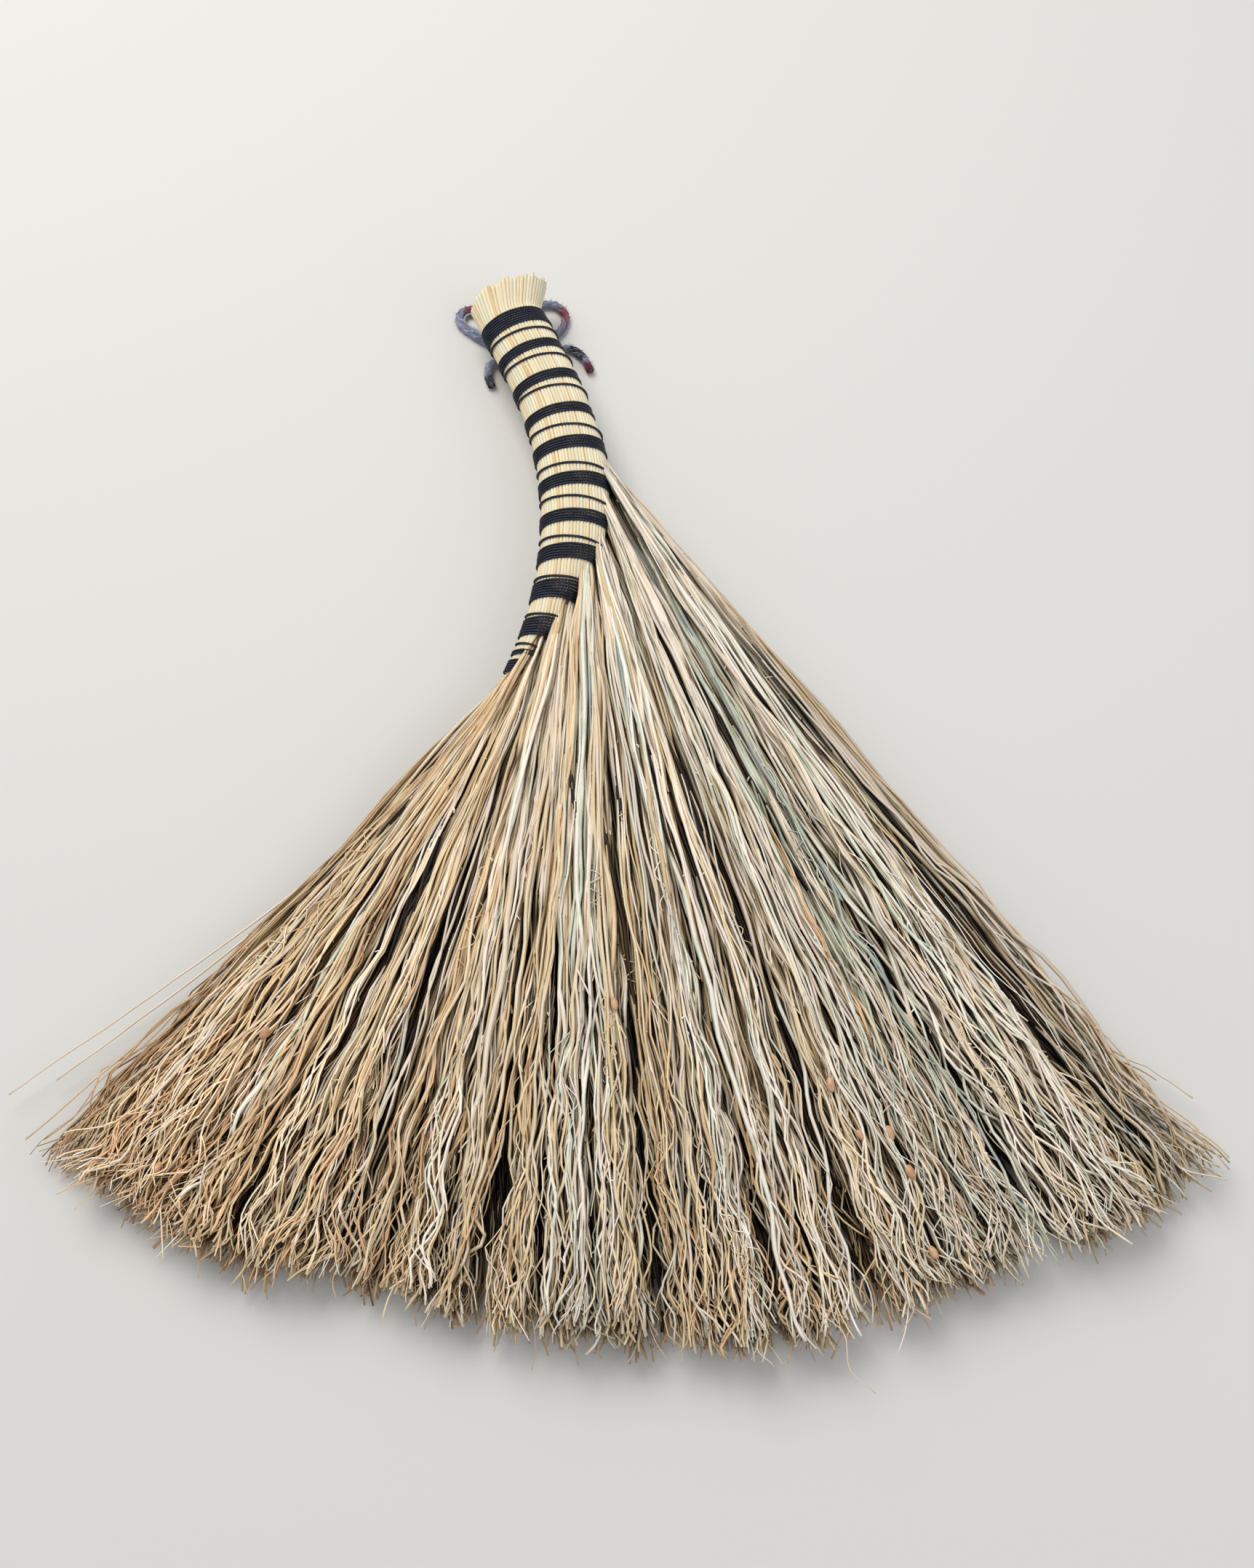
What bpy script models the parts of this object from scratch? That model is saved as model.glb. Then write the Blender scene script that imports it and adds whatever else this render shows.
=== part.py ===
"""Hand broom: seven bundles of broomcorn bound side by side into one curved handle, their bristles fanned out.

Metres, +Z up. The broom lies flat. +Y points to the cut ends of the stalks, the bristles fan out towards -Y,
and the hollow side of the bowed handle faces -X. The origin is on the ground, under the middle of the broom.

Places along the handle are counted in stations: station 1 is the first band below the cut ends, station 2
the next one, and so on. Bundle 1 makes the back of the handle and reaches the last band. Each further bundle
lies on its right side and leaves the handle one band earlier.
"""

import math

import bmesh
import bpy
from mathutils import Matrix, Vector

MM = 0.001
DEGREE = math.pi / 180

# Clearances
gap = 0.3 * MM
rest_cut = 0.5 * MM

# Handle, whose section is flatter than round
bundle_count = 7
band_count = 11
band_spacing = 14.4 * MM
back_radius = 156.5 * MM
back_bend = 25 * DEGREE
most_lean = 24 * DEGREE
level_station = 7
grip_width = 25.4 * MM
height_share = 0.74
band_width_shares = (0.97, 0.95, 0.96, 0.96, 1.0, 0.99, 0.95, 0.88, 0.65, 0.44, 0.22)
stalk_bulge = 0.7 * MM
butt_length = 15 * MM
butt_width = 31 * MM
neck_share = 0.4
arc_points = 6
cap_angle = 9 * DEGREE

# Binding cord, drawn 0.6 thick with room between its turns
cord_diameter = 0.6 * MM
cord_pitch = 1.13 * MM
turn_counts = (7, 4, 4, 4, 5, 5, 5, 6, 7, 7, 6)
point_counts = (9, 9, 9, 9, 9, 9, 9, 8, 8, 6, 6)

# Fan of bristles
trim_radius = 330 * MM
trim_centre_y = 132.75 * MM
back_left_of_trim = 31 * MM
back_below_trim = 41.3 * MM
fan_half_angle = 34 * DEGREE
column_counts = (4, 3, 3, 3, 3, 3, 3)
row_counts = (5, 7, 7, 8, 8, 8, 8)
cell_side = 1.85 * MM
strand_side = 1.15 * MM
tip_growth = 1.3
backing_depth = 3 * MM
pile_height = 22 * MM
trim_wave = 3 * MM
trim_wave_count = 5
wave_turn = 515 * DEGREE
exit_room = 3.4 * MM

# Yarn hanger under the handle
yarn_diameter = 3.2 * MM
yarn_height = yarn_diameter / 2 + gap
knot_station = 1.27
knot_radius = 7.4 * MM
knot_rise = 3.4 * MM
knot_top = 4.5 * MM
knot_side_count = 20
knot_ring_count = 10
left_loop_reach = 34 * MM
left_loop_half_width = 4.4 * MM
left_loop_heading = 136 * DEGREE
right_loop_reach = 29.5 * MM
right_loop_half_width = 7.2 * MM
right_loop_heading = 66 * DEGREE
left_tail_reach = 16.5 * MM
left_tail_start = 183 * DEGREE
left_tail_end = 225 * DEGREE
right_tail_reach = 26.6 * MM
right_tail_start = 22 * DEGREE
right_tail_end = -10 * DEGREE
yarn_step = 4 * MM


def clear_scene():
    for obj in list(bpy.data.objects):
        bpy.data.objects.remove(obj, do_unlink=True)


def principled(name, colour, roughness, metallic=0.0):
    """A plain material, its colour given as sRGB hex."""
    channels = [int(colour[i : i + 2], 16) / 255 for i in (0, 2, 4)]
    linear = [c / 12.92 if c <= 0.04045 else ((c + 0.055) / 1.055) ** 2.4 for c in channels]
    material = bpy.data.materials.new(name)
    material.use_nodes = True
    shader = material.node_tree.nodes["Principled BSDF"]
    shader.inputs["Base Color"].default_value = (*linear, 1)
    shader.inputs["Roughness"].default_value = roughness
    shader.inputs["Metallic"].default_value = metallic
    return material


def add_object(name, data, material, place=None):
    data.materials.append(material)
    obj = bpy.data.objects.new(name, data)
    obj.location = place or Vector()
    broom.objects.link(obj)
    return obj


def mesh_from(bm, name):
    bmesh.ops.recalc_face_normals(bm, faces=bm.faces)
    mesh = bpy.data.meshes.new(name)
    bm.to_mesh(mesh)
    bm.free()
    mesh.shade_smooth()
    mesh.set_sharp_from_angle(angle=30 * DEGREE)
    return mesh


def back(station):
    """The point of the handle's back at a station, and its heading: 0 where the back runs along Y."""
    along = (level_station - station) * band_spacing
    heading = min(along / back_radius, back_bend)
    straight = along - heading * back_radius
    centre = Vector((-back_left_of_trim - back_radius, trim_centre_y - back_below_trim, 0))
    radial = Vector((math.cos(heading), math.sin(heading), 0))
    tangent = Vector((-math.sin(heading), math.cos(heading), 0))
    return centre + back_radius * radial + straight * tangent, heading


def side_of(station):
    """The direction from the back across the handle. The lowest bands lie level, though the back curves on."""
    lean = min(max(back(station)[1], 0), most_lean)
    return Vector((math.cos(lean), math.sin(lean), 0))


def width_at(station):
    """Width of the bound stalks: flared at the cut ends, drawn in at each band."""
    first = band_width_shares[0] * grip_width
    if station < 1:
        flare = (1 - station) * band_spacing / butt_length
        return first + (butt_width - first) * max(0, flare - neck_share) / (1 - neck_share)
    upper = min(int(station), band_count)
    lower = min(upper + 1, band_count)
    share = station - upper
    here = band_width_shares[upper - 1] * (1 - share) + band_width_shares[lower - 1] * share
    return here * grip_width + stalk_bulge * math.sin(math.pi * share)


def centre_of(station):
    return back(station)[0] + side_of(station) * width_at(station) / 2 + Vector((0, 0, axis_height))


def cord_reach(station, points):
    """How far across and up the cord's middle line turns, so that its straight runs clear the stalks."""
    half = width_at(station) / 2
    loose = gap + cord_diameter / 2
    spread = 1 / math.cos(math.pi / points)
    return (half + loose) * spread, (half * height_share + loose) * spread


# The handle lies on the yarn knot under its first band, so the knot sets its height.
axis_height = knot_top + gap + cord_diameter / 2 + cord_reach(knot_station, point_counts[0])[1]


def bundles_at(band):
    """How many bundles a band holds."""
    return min(bundle_count, band_count + 1 - band)


def slot_edges(count):
    """Where a section is cut into upright slots of one area, from -1 at its left to 1 at its right."""
    edges = [-1.0]
    for slot in range(1, count):
        low, high = -1.0, 1.0
        for _ in range(40):
            middle = (low + high) / 2
            area = (math.pi - math.acos(middle) + middle * math.sqrt(1 - middle**2)) / math.pi
            low, high = (middle, high) if area < slot / count else (low, middle)
        edges.append(middle)
    return edges + [1.0]


def band_half(band):
    """Half the length of handle that a band covers, in stations, with room beside it."""
    return (turn_counts[band - 1] * cord_pitch / 2 + cord_diameter + gap) / band_spacing


def slot_at(bundle, station):
    """The slot's two edges at a station. A bundle that has left makes room for the others."""
    band = min(max(int(station), 1), band_count)
    count = bundles_at(band)
    start = band + band_half(band)
    left_by = exit_station(band)
    share = min(max((station - start) / (left_by - start), 0), 1)
    now = slot_edges(count)
    if share == 0 or count == 1 or bundles_at(band + 1) == count:
        return now[bundle - 1], now[bundle]
    later = slot_edges(count - 1)
    return (
        now[bundle - 1] * (1 - share) + later[bundle - 1] * share,
        now[bundle] * (1 - share) + later[bundle] * share,
    )


def exit_station(band):
    """Where the bundle that leaves below a band is clear of the handle."""
    return band + band_half(band) + exit_room / band_spacing


def slot_section(bundle, station):
    """The outline of a bundle in the handle: its top arc from left to right, then its lower arc back."""
    radius = width_at(station) / 2
    low, high = slot_at(bundle, station)
    start = math.pi - cap_angle if low <= -1 else math.acos(low + gap / 2 / radius)
    end = cap_angle if high >= 1 else math.acos(high - gap / 2 / radius)
    centre, side = centre_of(station), side_of(station)
    angles = [start + (end - start) * i / (arc_points - 1) for i in range(arc_points)]
    rise = Vector((0, 0, height_share))
    top = [centre + radius * (math.cos(a) * side + math.sin(a) * rise) for a in angles]
    lower = [centre + radius * (math.cos(a) * side - math.sin(a) * rise) for a in reversed(angles)]
    return top + lower


def grid_size(bundle):
    """Width and height of the grid of cells where a bundle leaves the handle. Each cell grows two strands."""
    return column_counts[bundle - 1] * cell_side, row_counts[bundle - 1] * cell_side


def sector(bundle):
    """The two angles from -Y, about the trim's centre, between which a bundle's bristles end."""
    width = 2 * fan_half_angle / bundle_count
    return -fan_half_angle + (bundle - 1) * width, -fan_half_angle + bundle * width


def trim_point(angle, height, reach=0.0):
    radius = trim_radius + reach
    return Vector((radius * math.sin(angle), trim_centre_y - radius * math.cos(angle), height))


def exit_frame(bundle):
    """Where a bundle leaves the handle: inner edge, direction across it, and direction of its bristles."""
    band = band_count + 1 - bundle
    station = exit_station(band)
    width, _ = grid_size(bundle)
    if bundle == 1:
        root = centre_of(station)
    else:
        tucked = cord_reach(station, point_counts[band - 1])[0] + cord_diameter / 2 + gap
        root = centre_of(station) + side_of(station) * tucked
    toward = trim_point(sum(sector(bundle)) / 2, axis_height) - root
    forward = Vector((toward.x, toward.y, 0)).normalized()
    across = Vector((-forward.y, forward.x, 0))
    if bundle == 1:
        root = root - across * width / 2
    return root, across, forward


def exit_section(bundle):
    root, across, _ = exit_frame(bundle)
    width, height = grid_size(bundle)
    steps = [width * i / (arc_points - 1) for i in range(arc_points)]
    rise = Vector((0, 0, height / 2))
    return [root + across * s + rise for s in steps] + [root + across * s - rise for s in reversed(steps)]


def loft(sections):
    """A closed solid through outlines of as many points each."""
    bm = bmesh.new()
    rings = [[bm.verts.new(point) for point in section] for section in sections]
    for ring, following in zip(rings, rings[1:]):
        for i in range(len(ring)):
            after = (i + 1) % len(ring)
            bm.faces.new((ring[i], ring[after], following[after], following[i]))
    bm.faces.new(reversed(rings[0]))
    bm.faces.new(rings[-1])
    return bm


def handle_stations(last_band):
    """Stations to loft a bundle through: its cut end, both sides of each band, and the bulge between two."""
    stations = [1 - butt_length / band_spacing, 1 - neck_share * butt_length / band_spacing]
    for band in range(1, last_band + 1):
        stations += [band, band + band_half(band)]
        if band < last_band:
            stations.append(exit_station(band))
    return stations


def make_stalks(bundle, material):
    last_band = band_count + 1 - bundle
    sections = [slot_section(bundle, station) for station in handle_stations(last_band)]
    sections.append(exit_section(bundle))
    name = f"stalks_{bundle}"
    return add_object(name, mesh_from(loft(sections), name), material)


def strand_tip(bundle, column, rise):
    """Where a strand ends, for its column and its share of the bundle's height. Keeping that order, none cross."""
    start, end = sector(bundle)
    angle = start + (end - start) * (column + rise) / column_counts[bundle - 1]
    lowest = strand_side * tip_growth / 3 - rest_cut
    height = lowest + (pile_height - lowest) * rise
    wave = trim_wave * math.sin(trim_wave_count * math.pi * angle / fan_half_angle + wave_turn * rise)
    return trim_point(angle, height, wave)


def strand_cells(bm, bundle):
    """A grid of cells on the ground plane, each split in two, with each half's column and share of the height."""
    width, height = grid_size(bundle)
    columns, rows = column_counts[bundle - 1], row_counts[bundle - 1]
    bmesh.ops.create_grid(bm, x_segments=columns, y_segments=rows, size=1)
    stretch = Matrix.Diagonal((width / 2, height / 2, 1, 1)) @ Matrix.Translation((1, 1, 0))
    bmesh.ops.transform(bm, matrix=stretch, verts=bm.verts)
    bmesh.ops.triangulate(bm, faces=bm.faces[:], quad_method="ALTERNATE")
    cells = {}
    for face in bm.faces:
        middle = face.calc_center_median()
        cells[face] = int(middle.x / cell_side), middle.y / height
    return cells


def cut_at_ground(bm):
    """Cuts away what lies below the ground and closes the cut flat."""
    everything = bm.verts[:] + bm.edges[:] + bm.faces[:]
    bmesh.ops.bisect_plane(bm, geom=everything, plane_co=Vector(), plane_no=Vector((0, 0, -1)), clear_outer=True)
    bmesh.ops.holes_fill(bm, edges=[edge for edge in bm.edges if edge.is_boundary])


def make_hurl(bundle, material):
    """Bristles: a slice of the bundle, its face divided into cells, each drawn out into a strand."""
    root, across, forward = exit_frame(bundle)
    _, height = grid_size(bundle)
    frame = Matrix((across, Vector((0, 0, 1)), forward)).transposed().to_4x4()
    frame.translation = root - Vector((0, 0, height / 2)) + forward * (gap + backing_depth)
    bm = bmesh.new()
    cells = strand_cells(bm, bundle)
    rim = [edge for edge in bm.edges if edge.is_boundary]
    wall = bmesh.ops.extrude_edge_only(bm, edges=rim)["geom"]
    low = [item for item in wall if isinstance(item, bmesh.types.BMVert)]
    bmesh.ops.translate(bm, verts=low, vec=Vector((0, 0, -backing_depth)))
    bmesh.ops.edgeloop_fill(bm, edges=[edge for edge in bm.edges if edge.is_boundary])
    bmesh.ops.transform(bm, matrix=frame, verts=bm.verts)
    inset = (cell_side - strand_side) / (2 + math.sqrt(2))
    bmesh.ops.inset_individual(bm, faces=list(cells), thickness=inset)
    for face, (column, rise) in cells.items():
        middle = face.calc_center_median()
        drawn = bmesh.ops.extrude_discrete_faces(bm, faces=[face])["faces"][0]
        for vert in drawn.verts:
            vert.co = strand_tip(bundle, column, rise) + (vert.co - middle) * tip_growth
    cut_at_ground(bm)
    name = f"hurl_{bundle}"
    return add_object(name, mesh_from(bm, name), material)


def cord_point(station, angle, points):
    """A point of the cord's middle line as it winds round the handle."""
    across, up = cord_reach(station, points)
    return centre_of(station) + across * math.cos(angle) * side_of(station) + Vector((0, 0, up * math.sin(angle)))


def band_route(band):
    """Turns of one band and the single turn that leads on to the next, all from one winding."""
    points = point_counts[band - 1]
    turns = turn_counts[band - 1]
    pitch = cord_pitch / band_spacing
    start = band - turns * pitch / 2
    route = []
    for i in range(turns * points + 1):
        turn = i / points
        route.append(cord_point(start + turn * pitch, -math.pi / 2 - 2 * math.pi * turn, points))
    if band == band_count:
        return route
    following = band + 1 - turn_counts[band] * pitch / 2
    leaves = start + turns * pitch
    for i in range(1, points + 1):
        share = i / points
        station = leaves + (following - leaves) * share
        route.append(cord_point(station, -math.pi / 2 - 2 * math.pi * share, points))
    meets = cord_point(following, -math.pi / 2, point_counts[band])
    short = meets - route[-2]
    route[-1] = meets - short.normalized() * (gap + cord_diameter / 2)
    return route


def closest_turns(route, points):
    """The least distance between the middle lines of two turns."""
    least = math.inf
    for i, point in enumerate(route):
        for j in range(i + points // 2, len(route) - 1):
            start, end = route[j], route[j + 1]
            run = end - start
            share = min(max((point - start).dot(run) / run.length_squared, 0), 1)
            least = min(least, (point - start - run * share).length)
    return least


def tube(name, route, width, resolution, material, place=None):
    curve = bpy.data.curves.new(name, "CURVE")
    curve.dimensions = "3D"
    curve.bevel_depth = width / 2
    curve.bevel_resolution = resolution
    curve.use_fill_caps = True
    spline = curve.splines.new("POLY")
    spline.points.add(len(route) - 1)
    for point, co in zip(spline.points, route):
        point.co = (*co, 1)
    return add_object(name, curve, material, place)


def make_band(band, material):
    route = band_route(band)
    free = closest_turns(route, point_counts[band - 1]) - cord_diameter
    print(f"binding_{band}: {turn_counts[band - 1]} turns, least gap to itself {free / MM:.2f} mm")
    return tube(f"binding_{band}", route, cord_diameter, 0, material)


def smooth_route(marks, step):
    """Points every step along a smooth curve through the marks."""
    ends = [2 * marks[0] - marks[1], *marks, 2 * marks[-1] - marks[-2]]
    fine = []
    for a, b, c, d in zip(ends, ends[1:], ends[2:], ends[3:]):
        for i in range(20):
            t = i / 20
            fine.append(
                (2 * b + (c - a) * t + (2 * a - 5 * b + 4 * c - d) * t**2 + (3 * b - a - 3 * c + d) * t**3) / 2
            )
    fine.append(marks[-1])
    lengths = [0.0]
    for a, b in zip(fine, fine[1:]):
        lengths.append(lengths[-1] + (b - a).length)
    count = round(lengths[-1] / step)
    route = []
    for i in range(count + 1):
        wanted = lengths[-1] * i / count
        j = min(max(k for k, length in enumerate(lengths) if length <= wanted), len(fine) - 2)
        share = (wanted - lengths[j]) / (lengths[j + 1] - lengths[j])
        route.append(fine[j].lerp(fine[j + 1], share))
    return route


def knot_place():
    place = centre_of(knot_station)
    return Vector((place.x, place.y, 0))


def yarn_loop(reach, half, heading):
    """The marks of a loop that leaves the knot, widens, turns round and comes back."""
    inner = knot_radius + gap
    start = 0.62 * yarn_diameter
    marks = [
        (inner, start),
        (inner + 0.3 * (reach - half - inner), start + 0.45 * (half - start)),
        (inner + 0.65 * (reach - half - inner), start + 0.9 * (half - start)),
        (reach - half, half),
        (reach - 0.3 * half, 0.72 * half),
        (reach, 0),
    ]
    marks += [(along, -aside) for along, aside in reversed(marks[:-1])]
    turn = Matrix.Rotation(heading, 3, "Z")
    return [turn @ Vector((along, aside, yarn_height)) for along, aside in marks]


def yarn_tail(reach, start, end):
    """The marks of a tail: straight off the knot and then round in a hook, as its heading turns."""
    inner = knot_radius + gap
    marks = []
    for out_share, turn_share in ((0, 0), (0.4, 0), (0.65, 0.17), (0.85, 0.6), (1, 1)):
        heading = start + (end - start) * turn_share
        out = inner + (reach - inner) * out_share
        marks.append(Vector((out * math.cos(heading), out * math.sin(heading), yarn_height)))
    return marks


def make_knot(material):
    bm = bmesh.new()
    bmesh.ops.create_uvsphere(bm, u_segments=knot_side_count, v_segments=knot_ring_count, radius=1)
    shape = Matrix.Translation(knot_place() + Vector((0, 0, knot_top - knot_rise)))
    shape = shape @ Matrix.Diagonal((knot_radius, knot_radius, knot_rise, 1))
    bmesh.ops.transform(bm, matrix=shape, verts=bm.verts)
    cut_at_ground(bm)
    return add_object("yarn_knot", mesh_from(bm, "yarn_knot"), material)


def make_yarn(material):
    make_knot(material)
    routes = {
        "yarn_loop_left": yarn_loop(left_loop_reach, left_loop_half_width, left_loop_heading),
        "yarn_loop_right": yarn_loop(right_loop_reach, right_loop_half_width, right_loop_heading),
        "yarn_tail_left": yarn_tail(left_tail_reach, left_tail_start, left_tail_end),
        "yarn_tail_right": yarn_tail(right_tail_reach, right_tail_start, right_tail_end),
    }
    for name, marks in routes.items():
        tube(name, smooth_route(marks, yarn_step), yarn_diameter, 2, material, knot_place())


clear_scene()
broom = bpy.data.collections.new("hand_broom")
bpy.context.scene.collection.children.link(broom)

stalk_straw = principled("broomcorn_stalk", "E2CC98", 0.55)
hurl_straw = principled("broomcorn_hurl", "D6C296", 0.6)
waxed_cord = principled("waxed_cord", "171A28", 0.4)
wool_yarn = principled("variegated_yarn", "8E97BD", 0.9)

for number in range(1, bundle_count + 1):
    make_stalks(number, stalk_straw.copy())
    make_hurl(number, hurl_straw.copy())
for number in range(1, band_count + 1):
    make_band(number, waxed_cord.copy())
make_yarn(wool_yarn)
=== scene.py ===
# %% [markdown]
# A hand broom of broomcorn, of the kind called a turkey wing. Seven bundles of stalks are bound side by
# side into one bowed handle with a waxed cord, and their fine branches, the hurl, spread out into a fan
# that sweeps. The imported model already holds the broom's real sizes. This script dresses it: every
# stalk, bristle, turn of cord and strand of yarn is drawn here, around the model and at its size.

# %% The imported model
import math

import bmesh
import bpy
import numpy as np
from mathutils import Matrix, Vector


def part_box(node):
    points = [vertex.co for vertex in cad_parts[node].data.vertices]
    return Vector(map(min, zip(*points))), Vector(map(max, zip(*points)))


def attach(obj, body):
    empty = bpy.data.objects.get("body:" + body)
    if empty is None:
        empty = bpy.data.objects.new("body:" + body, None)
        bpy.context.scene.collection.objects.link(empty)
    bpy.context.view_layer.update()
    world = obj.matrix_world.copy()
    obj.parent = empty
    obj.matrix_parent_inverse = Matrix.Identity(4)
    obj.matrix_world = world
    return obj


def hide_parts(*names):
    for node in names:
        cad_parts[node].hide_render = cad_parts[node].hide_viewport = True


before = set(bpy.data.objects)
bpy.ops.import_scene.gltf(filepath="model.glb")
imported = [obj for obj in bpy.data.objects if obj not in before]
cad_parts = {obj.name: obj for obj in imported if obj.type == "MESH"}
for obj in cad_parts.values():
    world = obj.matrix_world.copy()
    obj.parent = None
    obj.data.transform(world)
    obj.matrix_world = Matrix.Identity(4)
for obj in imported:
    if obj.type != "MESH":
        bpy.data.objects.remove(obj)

MM = 0.001
DEGREE = math.pi / 180
UP = np.array((0.0, 0.0, 1.0))
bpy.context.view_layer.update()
print("nodes in the model:", len(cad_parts))

# %% [markdown]
# The camera. The photograph looks down steeply on a broom that lies on the ground: the lens stands a
# little in front of the fan and about 0.6 m up. Its place and pitch were worked out from the outlines of
# the fan and the handle. The picture is taller than it is wide, so the sensor's size is that of its
# height.

# %% The camera
picture_height = 2156
picture_focus = 2540
camera_place = Vector((0, -268.2 * MM, 587 * MM))
camera_pitch = 65.7 * DEGREE
sensor = 36

eye = bpy.data.cameras.new("eye")
eye.sensor_width = sensor
eye.lens = sensor * picture_focus / picture_height
camera = bpy.data.objects.new("camera", eye)
camera.location = camera_place
camera.rotation_euler = (math.pi / 2 - camera_pitch, 0, 0)
scene = bpy.context.scene
scene.collection.objects.link(camera)
scene.camera = camera
print(f"lens {eye.lens:.1f} mm, {camera_place.z / MM:.0f} mm above the ground")

# %% [markdown]
# Colours are written as the eye sees them, in sRGB hex, and one function turns them to the linear values
# that Blender mixes. Another adds any node with its settings and links, so that a material reads as a
# list of what it is made of.

# %% Colours and nodes
noise_low = 0.3
noise_high = 0.7


def colour(code):
    """An sRGB hex colour as Blender's linear one."""
    channels = [int(code[i : i + 2], 16) / 255 for i in (0, 2, 4)]
    return (*[c / 12.92 if c <= 0.04045 else ((c + 0.055) / 1.055) ** 2.4 for c in channels], 1)


def add(tree, kind, inputs=None, stops=(), **settings):
    """Adds a node. An input that is a socket is linked, any other is set. Stops are a ramp's colours."""
    made = tree.nodes.new(kind)
    for name, value in settings.items():
        setattr(made, name, value)
    for name, value in (inputs or {}).items():
        if isinstance(value, bpy.types.NodeSocket):
            tree.links.new(value, made.inputs[name])
        else:
            made.inputs[name].default_value = value
    if stops:
        elements = made.color_ramp.elements
        while len(elements) < len(stops):
            elements.new(0.5)
        for element, (place, code) in zip(elements, stops):
            element.position = place
            element.color = colour(code)
    return made


def new_material(name):
    """A material with its Principled shader, ready for its nodes."""
    made = bpy.data.materials.new(name)
    made.use_nodes = True
    return made, made.node_tree, made.node_tree.nodes["Principled BSDF"]


def varied(tree, value, noise, most):
    """A value that a noise, which mostly lies between noise_low and noise_high, moves by up to most."""
    swing = add(
        tree,
        "ShaderNodeMapRange",
        {"Value": noise, "From Min": noise_low, "From Max": noise_high, "To Min": -most, "To Max": most},
    )
    return add(tree, "ShaderNodeMath", {0: value, 1: swing.outputs[0]}, operation="ADD", use_clamp=True)


# %% [markdown]
# Light: an open overcast sky. A large soft lamp stands behind the broom's cut end, high up, so that the
# bristles catch light along their length and shade falls towards the camera, and the world fills in the
# rest. View transform Standard shows the colours about as they are written. The floor is plain and pale.

# %% Light and floor
sky_strength = 0.55
floor_size = 6

scene.view_settings.view_transform = "Standard"
world = bpy.data.worlds.new("overcast")
scene.world = world
world.use_nodes = True
sky = world.node_tree.nodes["Background"]
sky.inputs["Color"].default_value = colour("EEF1F5")
sky.inputs["Strength"].default_value = sky_strength


def lamp(name, place, size, power, code):
    """A round soft lamp that shines on the middle of the broom."""
    light = bpy.data.lights.new(name, "AREA")
    light.shape = "DISK"
    light.size = size
    light.energy = power
    light.color = colour(code)[:3]
    made = bpy.data.objects.new(name, light)
    made.location = place
    made.rotation_euler = (-Vector(place)).to_track_quat("-Z", "Y").to_euler()
    scene.collection.objects.link(made)
    print(f"{name}: {size} m across, {power} W")


lamp("sky_light", place=(-0.5, 0.75, 1.25), size=1.1, power=17, code="FFFDF8")
lamp("side_fill", place=(0.9, -0.5, 0.8), size=1.0, power=3, code="F2F6FF")

floor_material, tree, shader = new_material("pale_floor")
shader.inputs["Base Color"].default_value = colour("D9D7D3")
shader.inputs["Roughness"].default_value = 0.9
bpy.ops.mesh.primitive_plane_add(size=floor_size)
floor = bpy.context.object
floor.name = "floor"
floor.data.materials.append(floor_material)

# %% [markdown]
# Straw. Broomcorn is a tall grass: its dried stalk and the hurl that grows from it have a hard, silky
# skin with fine lines along it, cream to tan, some still grey green. The skin gives a soft gleam, so it
# is rough but not matt. Each strand carries three values: its tint, a place on the ramp of straw
# colours, its shade, which darkens what lies deep in the pile, and its run, the distance along it, for
# blotches a few millimetres long. Straw passes red light on best, so green and blue fade sooner in its
# shade.

# %% Straw for stalks and hurl
pattern_shift = 97.0
lines_per_blotch = 4.0
line_depth = 0.1 * MM
green_fade = 1.1
blue_fade = 1.28
# Sockets of a Mix node that mixes colours, counted from its first one.
mix_share, mix_a, mix_b, mix_result = 0, 6, 7, 2

stalk_stops = (
    (0.0, "D9DCC4"),
    (0.3, "EFE6CB"),
    (0.5, "EFDFBB"),
    (0.7, "E3CB9C"),
    (0.85, "CBA36F"),
    (1.0, "7A5234"),
)
hurl_stops = (
    (0.0, "A9B3B6"),
    (0.12, "C3CBB3"),
    (0.24, "E9E7D6"),
    (0.36, "EFE0D3"),
    (0.48, "EBDABC"),
    (0.62, "E2C79B"),
    (0.76, "DFB48B"),
    (0.89, "BE9266"),
    (1.0, "7A5234"),
)


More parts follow.
